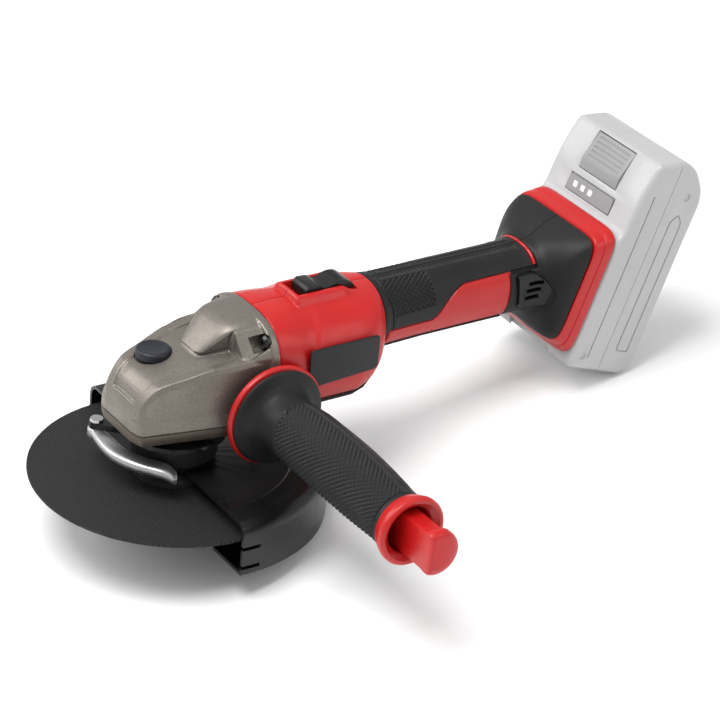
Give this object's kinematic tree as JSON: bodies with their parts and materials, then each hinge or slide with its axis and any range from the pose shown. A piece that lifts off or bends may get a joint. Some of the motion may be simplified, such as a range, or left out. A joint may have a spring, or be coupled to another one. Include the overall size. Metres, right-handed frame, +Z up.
{
  "type": "angle grinder",
  "caption": "Cordless angle grinder: cast gear head, red and black slim body, half wheel guard with a lever, abrasive disc, side handle with a stowed key, and a slide-on battery.",
  "frame": {"origin": "middle of the tool's box, on the floor that the guard's rear edge and the battery's lower edge stand on", "axes": "+X from the gear head back to the battery, +Y away from the side handle, +Z up"},
  "size_m": [0.393, 0.2658, 0.1224],
  "materials": {
    "red_plastic": "satin moulded, lightly grained",
    "black_rubber": "soft-touch matt",
    "black_plastic": "satin moulded",
    "black_steel": "black satin coating",
    "cast_bronze_grey": "speckled bronze-grey casting, satin",
    "bright_steel": "bright",
    "dark_steel": "oiled, dark",
    "abrasive": "resin-bonded grit with a glass weave",
    "blue_black_plastic": "fine grain",
    "pale_grey_plastic": "satin moulded",
    "grey_plastic": "satin moulded",
    "cell_blue": "shrink wrap"
  },
  "bodies": {
    "tool": {"housing_left": "red_plastic", "grip_overmould_left": "black_rubber", "foot_overmould_left": "black_rubber", "vent_cover_left": "black_plastic", "housing_right": "red_plastic", "grip_overmould_right": "black_rubber", "foot_overmould_right": "black_rubber", "vent_cover_right": "black_plastic", "underside_trim": "black_rubber", "name_plate": "black_plastic", "battery_collar": "red_plastic", "terminal_block": "black_plastic", "switch_unit": "black_plastic", "controller_module": "dark_steel", "gear_case": "cast_bronze_grey", "bearing_cover": "cast_bronze_grey", "gear_case_screw_1": "black_steel", "gear_case_screw_2": "black_steel", "gear_case_screw_3": "black_steel", "gear_case_screw_4": "black_steel", "bearing_cover_screw_1": "black_steel", "bearing_cover_screw_2": "black_steel", "bearing_cover_screw_3": "black_steel", "bearing_cover_screw_4": "black_steel", "motor_bracket": "black_plastic", "motor_front_bearing": "bright_steel", "motor_rear_bearing": "bright_steel", "spindle_bearing": "bright_steel", "spindle_bush": "dark_steel", "rear_bearing_holder": "black_plastic", "stator": "dark_steel", "lock_spring": "bright_steel"},
    "spindle": {"spindle": "bright_steel", "crown_gear": "dark_steel", "inner_flange": "dark_steel", "grinding_disc": "abrasive", "clamping_nut": "dark_steel"},
    "rotor": {"motor_shaft": "bright_steel", "rotor_magnet": "black_steel", "cooling_fan": "black_plastic", "pinion_gear": "bright_steel"},
    "switch": {"switch_slider": "black_plastic", "switch_rod": "bright_steel"},
    "spindle_lock": {"lock_button": "blue_black_plastic", "lock_pin": "bright_steel"},
    "guard": {"wheel_guard": "black_steel", "guard_band": "black_steel", "lever_pin": "bright_steel"},
    "lever": {"guard_lever": "bright_steel"},
    "side_handle": {"handle_stud": "bright_steel", "handle_grip": "black_rubber", "handle_flange_ring": "red_plastic", "handle_end_ring": "red_plastic", "handle_damper": "black_rubber"},
    "key": {"stowed_key": "red_plastic"},
    "battery": {"battery_case_front": "pale_grey_plastic", "battery_case_rear": "pale_grey_plastic", "cell_pack": "cell_blue", "battery_gauge_panel": "grey_plastic"},
    "battery_latch": {"battery_latch_button": "grey_plastic"}
  },
  "joints": [
    {"name": "spindle_spin", "type": "hinge", "parent": "tool", "child": "spindle", "pos_m": [-0.12219, 0.05235, 0.02967], "axis": [0.1512, 0, 0.9885], "continuous": true},
    {"name": "rotor_spin", "type": "hinge", "parent": "tool", "child": "rotor", "pos_m": [-0.04378, 0.05235, 0.07938], "axis": [0.9885, 0, -0.1512], "continuous": true},
    {"name": "switch_slide", "type": "slide", "parent": "tool", "child": "switch", "axis": [-0.9885, 0, 0.1512], "range_m": [0, 0.005], "stiffness_N_per_m": 300, "springref_m": -0.003},
    {"name": "spindle_lock_press", "type": "slide", "parent": "tool", "child": "spindle_lock", "axis": [-0.1512, 0, -0.9885], "range_m": [0, 0.002], "stiffness_N_per_m": 500, "springref_m": -0.002, "deforming": ["lock_spring"]},
    {"name": "guard_turn", "type": "hinge", "parent": "tool", "child": "guard", "pos_m": [-0.11993, 0.05235, 0.04449], "axis": [0.1512, 0, 0.9885], "range_deg": [-90, 90]},
    {"name": "guard_lever_swing", "type": "hinge", "parent": "guard", "child": "lever", "pos_m": [-0.15042, 0.07835, 0.05017], "axis": [0.1512, 0, 0.9885], "range_deg": [-70, 0]},
    {"name": "side_handle_unscrew", "type": "hinge", "parent": "tool", "child": "side_handle", "pos_m": [-0.08102, 0.01835, 0.06738], "axis": [0, -1, 0], "range_deg": [0, 360]},
    {"name": "key_slide", "type": "slide", "parent": "side_handle", "child": "key", "axis": [0, -1, 0], "range_m": [0, 0.06]},
    {"name": "battery_slide", "type": "slide", "parent": "tool", "child": "battery", "axis": [0.4748, 0, 0.8801], "range_m": [0, 0.08]},
    {"name": "battery_latch_press", "type": "slide", "parent": "battery", "child": "battery_latch", "axis": [0.8801, 0, -0.4748], "range_m": [0, 0.002], "stiffness_N_per_m": 600, "springref_m": -0.002}
  ],
  "couplings": [
    {"joint": "rotor_spin", "follows": "spindle_spin", "ratio": 3.2}
  ]
}
